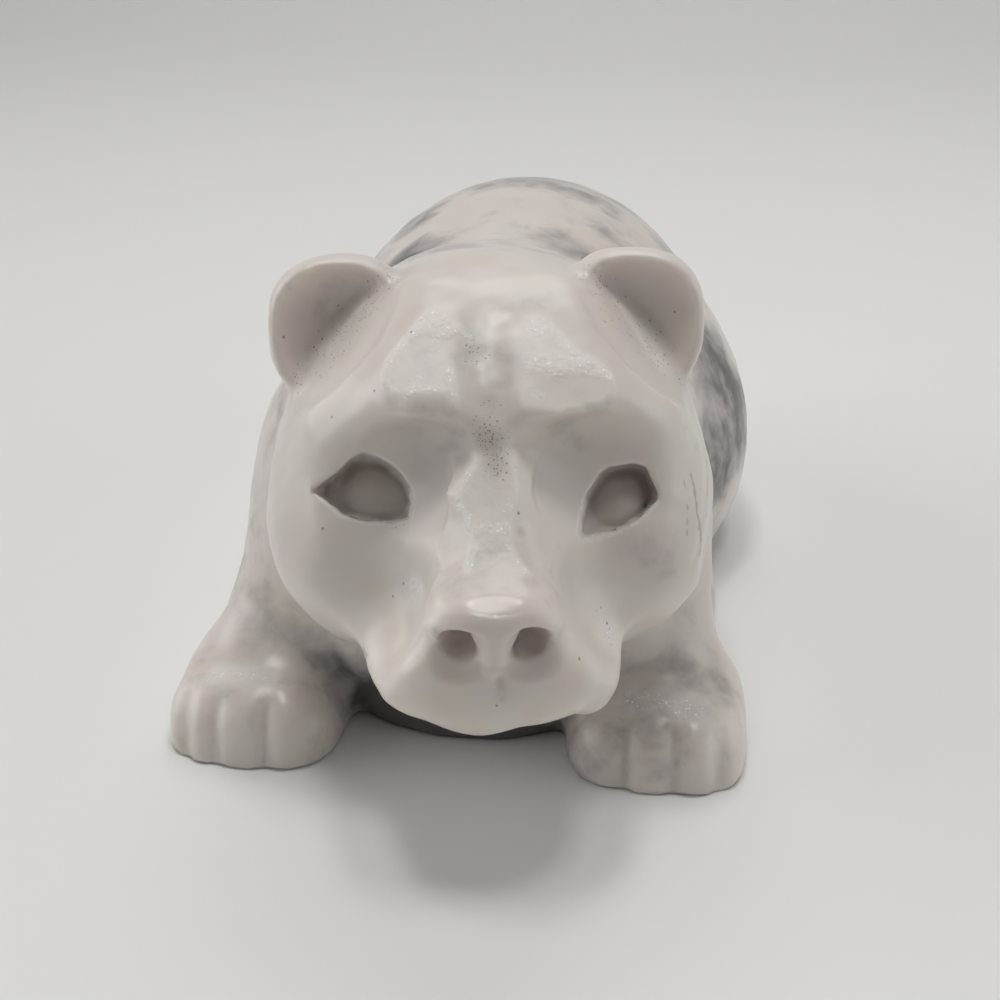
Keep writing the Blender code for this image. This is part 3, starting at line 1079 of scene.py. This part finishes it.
@dataclass(frozen=True)
class Marble:
    """White marble with grey clouds, fine crystals and old dirt in its hollows, with painted shade in the hollows too
    and painted glints and highlights on its flats and edges.
    """

    name: str = "polished_white_marble"
    white: tuple = (0.710, 0.665, 0.625, 1)
    blush: tuple = (0.690, 0.632, 0.610, 1)
    stain: tuple = (0.690, 0.630, 0.560, 1)
    cloud: tuple = (0.310, 0.285, 0.285, 1)
    fleck: tuple = (0.110, 0.100, 0.105, 1)
    # painted glint and highlight colour for the flats and edges that catch the overhead lights
    frost_and_glint: tuple = (0.980, 0.965, 0.955, 1)
    shade: tuple = (0.460, 0.415, 0.400, 1)
    # brown dirt colour, also painted into the nostrils as deep shade
    soil_and_shade: tuple = (0.120, 0.075, 0.045, 1)
    gloss_low: float = 0.28
    gloss_high: float = 0.32
    unpolished: float = 0.60
    glow: float = 0.45
    glow_reach: float = 0.003

    def material(self, groups: dict[str, bpy.types.NodeTree]) -> bpy.types.Material:
        """Make the finish.

        Args:
            groups: The shared node groups by name.

        Returns:
            The material.
        """
        finish = bpy.data.materials.new(self.name)
        finish.use_nodes = True
        wire = Wiring(finish.node_tree)
        shader = finish.node_tree.nodes["Principled BSDF"]
        place = wire.node("VectorMath", {0: wire.node("TexCoord").outputs["Object"], "Scale": 1 / MM},
                          operation="SCALE").outputs[0]
        links = finish.node_tree.links
        made = {}
        for name, group in groups.items():
            made[name] = wire.node("Group", {}, node_tree=group)
            links.new(place, made[name].inputs["Place"])
        clouds, grain, pits, specks = made["clouds"], made["grain"], made["pits"], made["specks"]
        scratches = made["scratches"].outputs["Scratches"]
        links.new(wire.mask("greyness_and_shade"), clouds.inputs["Greyness_and_shade"])
        links.new(wire.mask("pitted"), pits.inputs["Amount"])
        frosted_and_glinting = wire.mask("frosted_and_glinting")
        soiled_and_shaded = wire.mask("soiled_and_shaded")

        tint = wire.ramp(wire.noise(place, 0.11, 1, 0.5), 0.38, 0.64)
        colour = wire.mix(tint, self.white, self.blush)
        colour = wire.mix(wire.math("MULTIPLY", clouds.outputs["Stains"], 0.7), colour, self.stain)
        # grey clouds and dark flecks of the veins, which under the head and on the right front paw also paint shade
        colour = wire.mix(wire.math("MULTIPLY", clouds.outputs["Clouds"], 0.9), colour, self.cloud)
        colour = wire.mix(clouds.outputs["Flecks"], colour, self.fleck)
        # painted highlights: the flats are lightened towards the glint colour, and crystals along their bruised edges
        # become painted glints
        broken = wire.ramp(wire.noise(place, 1.3, 1, 0.6), 0.32, 0.54)
        bruised = wire.math("MULTIPLY", wire.ramp(frosted_and_glinting, 0.45, 0.85), broken)
        glints = wire.math("MULTIPLY", grain.outputs["Sparkle"], bruised)
        bright = wire.math("MAXIMUM", wire.math("MULTIPLY", frosted_and_glinting, 0.36), glints)
        colour = wire.mix(bright, colour, self.frost_and_glint)
        # painted shade: creases, eye sockets, nostrils, the nose front and deep hollows low on the bear are darkened
        # here, in the same mask as the real dirt of the forehead groove
        colour = wire.mix(wire.ramp(soiled_and_shaded, 0.0, 0.5), colour, self.shade, "MULTIPLY")
        colour = wire.mix(wire.ramp(soiled_and_shaded, 0.4, 1.0), colour, self.soil_and_shade)
        dark = wire.math("MAXIMUM", pits.outputs["Pits"], specks.outputs["Specks"])
        colour = wire.mix(wire.math("MULTIPLY", dark, 0.66), colour, self.soil_and_shade)
        colour = wire.mix(wire.math("MULTIPLY", scratches, 0.55), colour, self.shade, "MULTIPLY")
        links.new(colour, shader.inputs["Base Color"])

        sheen = wire.ramp(grain.outputs["Grain"], 0.35, 0.7, self.gloss_low, self.gloss_high)
        dull = wire.math("MAXIMUM", wire.ramp(soiled_and_shaded, 0.0, 0.3), wire.ramp(frosted_and_glinting, 0.2, 0.5, 0.0, 0.62))
        links.new(wire.math("MULTIPLY_ADD", dull, self.unpolished - self.gloss_low, sheen),
                  shader.inputs["Roughness"])

        height = wire.math("MULTIPLY", grain.outputs["Height"], bruised)
        bump = wire.node("Bump", {"Height": height, "Strength": 0.5, "Distance": 0.10 * MM})
        links.new(bump.outputs["Normal"], shader.inputs["Normal"])

        shader.inputs["Subsurface Weight"].default_value = self.glow
        shader.inputs["Subsurface Radius"].default_value = (1.0, 0.80, 0.68)
        shader.inputs["Subsurface Scale"].default_value = self.glow_reach
        shader.inputs["IOR"].default_value = 1.52
        return finish


@dataclass(frozen=True)
class Paper:
    """Matt off-white studio paper."""

    name: str = "studio_paper"
    colour: tuple = (0.83, 0.83, 0.82, 1)
    roughness: float = 0.9

    def material(self) -> bpy.types.Material:
        """Make the finish."""
        finish = bpy.data.materials.new(self.name)
        finish.use_nodes = True
        shader = finish.node_tree.nodes["Principled BSDF"]
        shader.inputs["Base Color"].default_value = self.colour
        shader.inputs["Roughness"].default_value = self.roughness
        shader.inputs["Specular IOR Level"].default_value = 0.2
        return finish


# Where the stone is grey, dirty or worn, and where shade and glints are painted on it


@dataclass(frozen=True)
class Patch:
    """A soft round patch."""

    place: Triple
    reach: float
    amount: float

    def weight(self, points: Points) -> np.ndarray:
        """Give the patch's amount at points, which fades to nothing at its reach."""
        away = np.sqrt(((points - np.array(self.place, np.float32)) ** 2).sum(-1))
        return self.amount * fade(away, self.reach, self.reach * 0.25)


@dataclass(frozen=True)
class Line:
    """A soft line on the surface."""

    start: Triple
    end: Triple
    width: float
    amount: float

    def weight(self, points: Points) -> np.ndarray:
        """Give the line's amount at points, which fades to nothing at its edge."""
        away = limb(points, self.start, self.width / 2, self.end, self.width / 2) + self.width / 2
        return self.amount * fade(away, self.width, self.width * 0.2)


def heaped(marks: Sequence[Patch | Line], points: Points) -> np.ndarray:
    """Take the strongest of some marks at points."""
    return np.maximum.reduce([mark.weight(points) for mark in marks])


@dataclass(frozen=True)
class Patina:
    """The veining of this block, what use and dirt have left on it, and the shade and glints painted on it."""

    body_grey: float = 0.30
    # grey veining; the patch on the right front paw also paints shade there
    grey_and_shade_patches: tuple[Patch, ...] = (
        Patch((-12.9, 3.8, 43.2), 10, 0.92), Patch((7.2, 4.3, 45.5), 8, 0.75), Patch((10, 22.2, 46.5), 8, 0.65),
        Patch((-13, 20, 43), 10, 0.75), Patch((26.3, 10.4, 28.5), 12, 1.05), Patch((27.5, 4, 19), 12, 1.0),
        Patch((29, 14, 20), 12, 1.0), Patch((0, 30, 48), 30, 0.52), Patch((20, 14, 38), 12, 0.62), Patch((-18, -34, 10.5), 7, 0.52),
        Patch((-14, -31, 7), 9, 0.85), Patch((22, -39, 5), 11, 0.44), Patch((-22, 20, 36), 15, 0.52),
       
        Patch((-27, 24, 26), 12, 0.7), Patch((-24, 2, 30), 10, 0.7), Patch((4, 48, 30), 12, 0.65),
    )
    # dark grey stone between the paws, laid on thickly as painted shade under the head
    chest: Patch = Patch((0, -33, 2), 19, 1.7)
    pale_patches: tuple[Patch, ...] = (
        Patch((-1.5, 17, 48), 9, 0.30), Patch((23, -29, 17), 10, 0.26), Patch((-24, -34, 8), 12, 0.16),
    )
    face_grey: tuple[Patch | Line, ...] = (
        Line((-0.7, -8.8, 14.9), (-0.5, -15.2, 7.0), 4.6, 0.12),
        Patch((6.5, -14, 6), 7, 0.30), Patch((-5.5, -14, 7), 6, 0.22), Patch((15, -13, -5), 6, 0.24),
    )
    face_soil_and_shade: tuple[Patch | Line, ...] = (
        # dirt in the forehead groove and philtrum, and painted shade across the front of the nose below its ledge
        Line((0.1, -26.3, -9.0), (0.3, -26.2, -10.9), 0.7, 0.16),
        Line((-0.9, -6, 17.6), (-0.6, -14, 9), 3.6, 0.05), Line((-3.2, -26.6, -4.0), (2.4, -26.6, -4.0), 2.8, 0.10),
        Patch((-0.6, -14.7, 8.4), 2.6, 0.20), Patch((-0.4, -12.7, 11.3), 1.4, 0.16),
        Patch((-1.5, -9.3, 14.8), 1.8, 0.14), Patch((2.2, -18.5, 1.4), 0.8, 0.20),
    )
    face_pits: tuple[Patch | Line, ...] = (
        Patch((-0.6, -14.5, 8.8), 2.6, 1.0), Patch((0.3, -15.3, 6.6), 2.2, 0.85),
        Patch((-0.4, -12.8, 11.2), 1.3, 0.55), Patch((-1.6, -9.3, 14.8), 1.9, 0.55),
        Patch((-8.2, -14.9, -5.4), 2.6, 0.22), Patch((10.2, -15.5, -9.5), 3.0, 0.25),
        Patch((6.2, -15.6, 3.5), 2.6, 0.22), Patch((-9.3, -12.4, -0.4), 1.6, 0.35),
        Patch((16.2, -0.7, 11.0), 3.0, 0.62), Patch((14.6, 1.3, 13.2), 2.0, 0.40),
        Patch((-14.6, 0.9, 13.0), 2.6, 0.45), Patch((10.8, -16.2, -11.4), 2.2, 0.26),
    )
    # painted glints and highlights on a rougher unpolished finish: the bright edges of the forehead flats and bridge,
    # the nose ledge rim, the lit ear rims and cheek ridge, and sparkling patches on the cheeks
    face_frost_and_glint: tuple[Patch | Line, ...] = (
        Line((-5.9, -11.7, 14.7), (-8.3, -13.6, 11.2), 1.0, 0.9),
        Line((-3.9, -11.5, 14.0), (-3.6, -13.4, 11.9), 0.9, 0.9),
        Line((-6.6, -11.9, 14.2), (-4.0, -10.6, 15.0), 0.8, 0.9),
        Line((-5.4, -9.8, 15.6), (-4.6, -6.8, 17.2), 1.3, 0.7),
        Line((-4.9, -6.4, 17.4), (-2.0, -7.9, 15.8), 0.8, 0.9),
        Patch((4.0, -7.3, 16.8), 2.3, 0.9),
        Line((5.2, -7.2, 17.0), (8.8, -11.5, 13.8), 1.0, 1.0),
        Line((2.6, -9.2, 15.4), (2.9, -12.4, 13.0), 1.6, 0.6),
        Patch((3.8, -13.2, 12.3), 1.2, 0.8),
        Line((-2.1, -14.9, 6.1), (-3.3, -15.6, 3.7), 0.8, 0.9),
        Line((-3.2, -16.2, 3.4), (-2.1, -18.6, 2.0), 1.0, 1.0),
        Line((1.7, -16.0, 4.9), (0.9, -18.6, 2.2), 0.8, 0.8),
        Line((-1.9, -18.9, 1.9), (0.8, -18.9, 1.9), 1.0, 0.9),
        Line((-1.9, -20.2, 1.0), (-2.6, -22.2, -0.5), 0.8, 0.9),
        Line((0.9, -20.0, 1.0), (2.4, -22.2, -0.5), 0.8, 0.8),
        Line((3.0, -17.8, 1.8), (3.8, -20.4, -0.6), 1.0, 0.5),
        Line((-2.2, -26.0, -0.9), (2.0, -26.0, -0.9), 0.7, 0.5),
        Patch((-8.6, -14.4, -5.0), 3.2, 0.30), Patch((9.4, -15.0, -8.0), 3.6, 0.30),
        Line((19.0, -2.8, 6.6), (20.7, -4.0, 1.6), 0.7, 0.62), Line((20.7, -4.0, 1.6), (19.9, -8.3, -2.9), 0.7, 0.62),
        Line((19.9, -8.3, -2.9), (19.3, -9.6, -6.3), 0.7, 0.62), Patch((-7.4, -16.2, -5.8), 2.6, 0.72),
        Patch((10.6, -15.9, -10.8), 2.8, 0.72), Patch((16.2, -0.7, 11.0), 2.4, 0.6),
        Line((-11.9, 2.6, 15.9), (-15.3, 0.4, 11.6), 0.9, 0.55), Line((11.6, 2.8, 16.2), (16.3, -1.4, 10.4), 0.9, 0.6),
    )
    # painted highlights on the paw knuckles, on a rougher finish
    paw_frost_and_glint: tuple[Patch | Line, ...] = (
        Line((-26.5, -38.5, 7.9), (-21.0, -38.5, 8.0), 2.2, 0.8),
        Line((19.0, -37.3, 7.9), (25.5, -37.8, 7.6), 2.6, 0.9),
    )
    hollow_probe: float = 1.3
    # amounts of painted glint and highlight, on a rougher finish, for the cut flats, lid rims, flat edges, bridge top
    # and bridge ridge
    cut_frost_and_glint: float = 0.5
    lid_frost_and_glint: float = 0.9
    # amount of brown dirt and painted shade in the nostrils
    nostril_soil_and_shade: float = 0.62
    edge_frost_and_glint: float = 0.8
    bridge_frost_and_glint: float = 0.6
    ridge_frost_and_glint: float = 0.7

    def fresh_cuts(self, head: Head, face: Points) -> np.ndarray:
        """Find the unpolished flats of the forehead and bridge, and their bruised edges, where highlights and glints
        are painted.

        Args:
            head: The head.
            face: The points in the head's frame.

        Returns:
            From 0 on the polish to 1 on a bruised edge.
        """
        masses = head.masses(face)
        found = np.zeros(len(face))
        for flat in head.forehead_flats:
            height = np.abs(flat.height(face))
            on_cut = fade(height, 0.35, 0.1) * fade(-masses, -0.1, 0.1)
            edge = fade(height, 0.5, 0.15) * fade(np.abs(masses), 0.45, 0.1) * fade(face[:, 2], 11.8, 12.8)
            found = np.maximum(found, np.maximum(self.cut_frost_and_glint * on_cut, self.edge_frost_and_glint * edge))
        top, flank = head.snout.ridge(face)
        edge = fade(np.abs(top), 0.4, 0.1) * fade(np.abs(flank), 0.5, 0.1)
        on_cut = fade(np.abs(top), 0.4, 0.1) * (flank < 0)
        return np.maximum(found, np.maximum(self.bridge_frost_and_glint * on_cut, self.ridge_frost_and_glint * edge))

    def hollows(self, solid: Shape, points: Points, outward: Points) -> np.ndarray:
        """Find the creases and hollows.

        Args:
            solid: The shape that the points lie on.
            points: The points.
            outward: The direction out of the stone at each point.

        Returns:
            From 0 on open faces to about 1 in a deep crease.
        """
        return 1 - solid(points + self.hollow_probe * outward) / self.hollow_probe

    def mark(self, mesh: bpy.types.Mesh, bear: Bear, corners: Points, outward: Points) -> None:
        """Keep the marks on a mesh of the bear, for its marble to read.

        Args:
            mesh: The mesh.
            bear: The bear it was cut from.
            corners: The mesh's corners in millimetres.
            outward: The direction out of the stone at each corner.
        """
        head = bear.head
        face = seen_from(corners, head.centre, head.turn)
        inside_head = fade(head.whole(corners), 3.0, 0.8)
        deep = self.hollows(bear.solid, corners, outward)
        # greyness of the veins, with painted shade under the head and on the right front paw
        grey = np.maximum(self.body_grey, heaped(self.grey_and_shade_patches, corners))
        grey = np.maximum(grey, self.chest.weight(corners))
        grey = grey - heaped(self.pale_patches, corners)
        grey = grey * (1 - inside_head) + inside_head * heaped(self.face_grey, face)
        near_face = inside_head * (face[:, 1] < 6)
        crease = np.zeros(len(corners))
        pits = near_face * heaped(self.face_pits, face)
        soil_and_shade = near_face * heaped(self.face_soil_and_shade, face)
        for side, ear in head.ears.items():
            fold = fade(np.abs(ear.fold(face, side)), 1.9, 0.4) * fade(ear.away(face), 1.6, 0.6)
            crease = np.maximum(crease, fold)
        pits = np.maximum(pits, 0.30 * near_face * crease)
        # ear creases: real dirt, with painted shade that deepens with the crease
        soil_and_shade = np.maximum(soil_and_shade, near_face * (0.17 * crease * fade(deep, 0.15, 0.6)))
        for eye in head.eyes:
            sunk = eye.sunk(face)
            # painted shade inside the eye sockets, darker where they sink deeper
            soil_and_shade = np.maximum(soil_and_shade, sunk * (0.19 + 0.13 * fade(deep, 0.3, 0.9)))
            soil_and_shade = np.maximum(soil_and_shade, 0.26 * eye.pit(face))
        # nostrils: brown dirt with painted shade, darker where the hollow is deeper
        inside = fade(head.snout.nostril(face), 0.3, -0.1) * near_face * (face[:, 1] < -23)
        soil_and_shade = np.maximum(soil_and_shade, self.nostril_soil_and_shade * inside * fade(deep, 0.15, 0.7))
        # painted shade in deep hollows low on the bear, between the paws and under the chin
        soil_and_shade = np.maximum(soil_and_shade, 0.22 * fade(deep, 0.55, 0.95) * (corners[:, 2] < 12))
        store(mesh, "greyness_and_shade", grey)
        store(mesh, "pitted", pits)
        store(mesh, "soiled_and_shaded", soil_and_shade)
        # painted glints and highlights on the flats, edges, ear rims, lid rims and paw knuckles, stored with their
        # rougher finish
        frost_and_glint = np.maximum(heaped(self.face_frost_and_glint, face), self.fresh_cuts(head, face))
        frost_and_glint = near_face * np.maximum.reduce([frost_and_glint] + [self.lid_frost_and_glint * eye.lid(face) for eye in head.eyes])
        store(mesh, "frosted_and_glinting", np.maximum(frost_and_glint, heaped(self.paw_frost_and_glint, corners)))


# The piece and its studio


@dataclass(frozen=True)
class Figurine:
    """The carved bear as one mesh, in its marble."""

    bear: Bear = field(default_factory=Bear)
    finish: Marble = Marble()
    patina: Patina = field(default_factory=Patina)
    step: float = 0.84
    margin: float = 4
    face_specks: tuple[tuple[Triple, float], ...] = (
        ((2.0, -17.4, 2.7), 0.15), ((-7.4, -7.8, 16.3), 0.14), ((-7.1, -10.6, 14.9), 0.12),
        ((-8.6, -14.5, -5.9), 0.16),
        ((-9.6, -14.2, -7.4), 0.12), ((-5.6, -24.2, -1.9), 0.19),
        ((-20.0, 1.0, 12.9), 0.17), ((-16.6, 0.8, 19.1), 0.16), ((-10.6, -12.0, 12.3), 0.14),
        ((12.4, 2.3, 15.7), 0.14), ((18.0, 2.1, 14.7), 0.12),
        ((10.7, -2.7, 15.4), 0.12), ((-1.1, -27.0, -4.1), 0.14),
        ((7.1, -24.0, -8.3), 0.16), ((10.5, -15.0, -10.2), 0.12), ((-0.2, -26.2, -11.6), 0.12),
        ((-14.8, -9.5, 8.8), 0.14), ((-16.0, -11.7, -1.5), 0.12),
    )

    face_scratches: tuple[tuple[Triple, Triple, float], ...] = (
        ((19.0, -7.5, 1.6), (19.6, -8.4, -1.7), 0.28), ((19.6, -8.4, -1.7), (20.2, -8.2, -6.5), 0.34),
        ((18.0, -8.7, 1.6), (18.5, -10.1, -3.5), 0.20), ((21.1, -2.4, 1.9), (20.8, -6.8, -3.1), 0.26),
        ((14.9, -13.6, -4.6), (13.6, -14.6, -6.8), 0.36), ((-13.5, -12.3, -13.3), (-12.2, -16.0, -12.7), 0.30),
    )

    def on_bear(self, place: Triple) -> Triple:
        """Give a place on the head in the bear's frame."""
        head = self.bear.head
        return tuple(float(v) for v in np.array(head.centre) + spin(head.turn) @ np.array(place))

    def specks(self) -> list[tuple[Triple, float]]:
        """List the single specks in the bear's frame."""
        return [(self.on_bear(place), radius) for place, radius in self.face_specks]

    def scratches(self) -> list[tuple[Triple, Triple, float]]:
        """List the scratches in the bear's frame."""
        return [(self.on_bear(start), self.on_bear(end), half_width)
                for start, end, half_width in self.face_scratches]

    def carve(self) -> bpy.types.Mesh:
        """Cut the mesh from the stone, closer on the head than on the body."""
        low, high = (np.array(corner) / MM for corner in CAD_BOX)
        chisel = Chisel(tuple(low - self.margin), tuple(high + self.margin), self.step)
        corners, quads = chisel.skinned(self.bear.solid)
        mesh = bpy.data.meshes.new("polar_bear_marble")
        mesh.from_pydata(corners.tolist(), [], quads.tolist())
        for fine in self.fine_places():
            crowded(mesh, fine)
        corners = settle(self.bear.solid, corner_places(mesh))
        move_corners(mesh, corners)
        self.patina.mark(mesh, self.bear, corners, outward_of(mesh))
        move_corners(mesh, corners * MM)
        mesh.shade_smooth()
        return mesh

    def fine_places(self) -> list[Callable[[Points], np.ndarray]]:
        """List the places to work closer, from the widest to the smallest."""
        head = self.bear.head

        def face(points: Points) -> np.ndarray:
            """Mark the head in front of the neck."""
            return where_near(points, head.centre, 28) & (points[:, 1] < -22)

        def features(points: Points) -> np.ndarray:
            """Mark the eyes and the nose."""
            local = seen_from(points, head.centre, head.turn)
            places = [(eye.outline.centre, 6.0) for eye in head.eyes] + [((-0.4, -25, -5), 8.0)]
            return np.logical_or.reduce([where_near(local, place, reach) for place, reach in places])

        return [face, features]

    def build(self) -> bpy.types.Object:
        """Make the piece, dress it and set it in the frame."""
        groups = {"clouds": cloud_group(), "grain": grain_group(), "pits": pit_group(),
                  "specks": speck_group(self.specks()), "scratches": scratch_group(self.scratches())}
        mesh = self.carve()
        mesh.materials.append(self.finish.material(groups))
        piece = bpy.data.objects.new("polar_bear_marble", mesh)
        bpy.context.scene.collection.objects.link(piece)
        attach(piece, "root")
        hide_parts("polar_bear")
        return piece


@dataclass(frozen=True)
class Studio:
    """The floor, lights and camera. Sizes are in metres here."""

    paper: Paper = Paper()
    floor_size: float = 1.6
    sweep_start: float = 0.45
    sweep_radius: float = 0.35
    camera_height: float = 0.090
    camera_side: float = -0.0004
    camera_back: float = -0.159
    camera_turn: float = 7.8
    camera_pitch: float = 26.0
    focal_length: float = 48.6
    panel_place: Triple = (0.036, -0.058, 0.60)
    panel_apart: float = 0.090
    panel_power: dict[Side, float] = field(default_factory=lambda: {Side.RIGHT: 0.74, Side.LEFT: 0.60})
    rear_power: float = 0.34
    backdrop_power: float = 2.7
    tent_left: float = 2.3
    tent_right: float = 1.3
    tent_top: float = 0.13
    tent_seen: float = 0.62

    def floor(self) -> bpy.types.Object:
        """Lay the paper on the floor and up the wall behind, in one sweep."""
        profile = [(-self.floor_size / 2, 0.0), (self.sweep_start, 0.0)]
        for step in range(1, 17):
            angle = math.radians(90 * step / 16)
            profile.append((self.sweep_start + self.sweep_radius * math.sin(angle),
                            self.sweep_radius * (1 - math.cos(angle))))
        profile.append((self.sweep_start + self.sweep_radius, self.floor_size))
        half = self.floor_size
        places = [(x, y, z) for y, z in profile for x in (-half, half)]
        faces = [(2 * i, 2 * i + 1, 2 * i + 3, 2 * i + 2) for i in range(len(profile) - 1)]
        mesh = bpy.data.meshes.new("studio_floor")
        mesh.from_pydata(places, [], faces)
        mesh.shade_smooth()
        mesh.materials.append(self.paper.material())
        sheet = bpy.data.objects.new("studio_floor", mesh)
        bpy.context.scene.collection.objects.link(sheet)
        return sheet

    def lamp(self, name: str, place: Triple, size: Pair, power: float, colour: Triple,
             aim: Triple = (0, 0, 0.03)) -> bpy.types.Object:
        """Hang a soft light.

        Args:
            name: Its name.
            place: Where it hangs.
            size: Its width and depth.
            power: Its power in watts.
            colour: Its colour.
            aim: The point that it faces.

        Returns:
            The light.
        """
        light = bpy.data.lights.new(name, "AREA")
        light.shape = "RECTANGLE"
        light.size, light.size_y = size
        light.energy = power
        light.color = colour
        hung = bpy.data.objects.new(name, light)
        bpy.context.scene.collection.objects.link(hung)
        hung.location = place
        hung.rotation_euler = (Vector(aim) - Vector(place)).to_track_quat("-Z", "Y").to_euler()
        return hung

    def lights(self) -> None:
        """Hang a panel over the bear's head and two over the paper behind it, in a tent of pale cloth."""
        x, y, height = self.panel_place
        for side, power in self.panel_power.items():
            place = (x + side.value * self.panel_apart, y, height)
            self.lamp(f"ceiling_panel_{side.name.lower()}", place, (0.12, 0.11), power,
                      (1.0, 0.985, 0.955), (x, y, 0))
        self.lamp("rear_panel", (0.0, 0.35, height), (0.3, 0.3), self.rear_power, (1.0, 0.99, 0.97))
        self.lamp("backdrop_panel", (0.0, 0.75, 1.0), (0.8, 0.8), self.backdrop_power, (0.98, 0.985, 1.0), (0, 0.75, 0))
        self.tent()

    def tent(self) -> None:
        """Surround the set with cloth that glows low down at the sides and back, most of all on the left."""
        world = bpy.data.worlds.new("pale_tent")
        world.use_nodes = True
        wire = Wiring(world.node_tree)
        toward = wire.node("SeparateXYZ", {0: wire.node("TexCoord").outputs["Generated"]})
        x, y, z = (toward.outputs[axis] for axis in "XYZ")
        low = wire.ramp(z, 0.9, 0.2)
        beside = wire.math("MULTIPLY", low, wire.ramp(y, -0.85, -0.1))
        left = wire.ramp(x, 0.5, -0.7, 0, self.tent_left)
        right = wire.ramp(x, -0.5, 0.7, 0, self.tent_right)
        light = wire.math("MULTIPLY", beside, wire.math("ADD", left, right))
        light = wire.math("ADD", light, wire.ramp(z, 0.2, 0.9, 0, self.tent_top))
        seen = wire.node("LightPath").outputs["Is Camera Ray"]
        light = wire.math("MULTIPLY_ADD", seen, wire.math("SUBTRACT", self.tent_seen, light), light)
        cloth = world.node_tree.nodes["Background"]
        cloth.inputs["Color"].default_value = (1.0, 0.995, 0.985, 1)
        world.node_tree.links.new(light, cloth.inputs["Strength"])
        bpy.context.scene.world = world

    def camera(self) -> bpy.types.Object:
        """Set the camera where the photograph was taken from."""
        lens = bpy.data.cameras.new("photo_camera")
        lens.lens = self.focal_length
        lens.sensor_width = 36
        lens.clip_start = 0.01
        held = bpy.data.objects.new("photo_camera", lens)
        bpy.context.scene.collection.objects.link(held)
        turn = math.radians(self.camera_turn)
        held.location = (
            self.camera_side * math.cos(turn) - self.camera_back * math.sin(turn),
            self.camera_side * math.sin(turn) + self.camera_back * math.cos(turn),
            self.camera_height,
        )
        held.rotation_euler = (math.radians(90 - self.camera_pitch), 0, turn)
        bpy.context.scene.camera = held
        return held

    def build(self) -> None:
        """Set up the studio."""
        self.floor()
        self.lights()
        self.camera()
        bpy.context.scene.view_settings.view_transform = "Standard"


def main() -> None:
    """Build the bear and its studio."""
    logging.basicConfig(level=logging.INFO, format="%(name)s: %(message)s")
    piece = Figurine().build()
    log.info("%s: %d faces", piece.name, len(piece.data.polygons))
    Studio().build()
    bpy.context.view_layer.update()


if __name__ == "__main__":
    main()
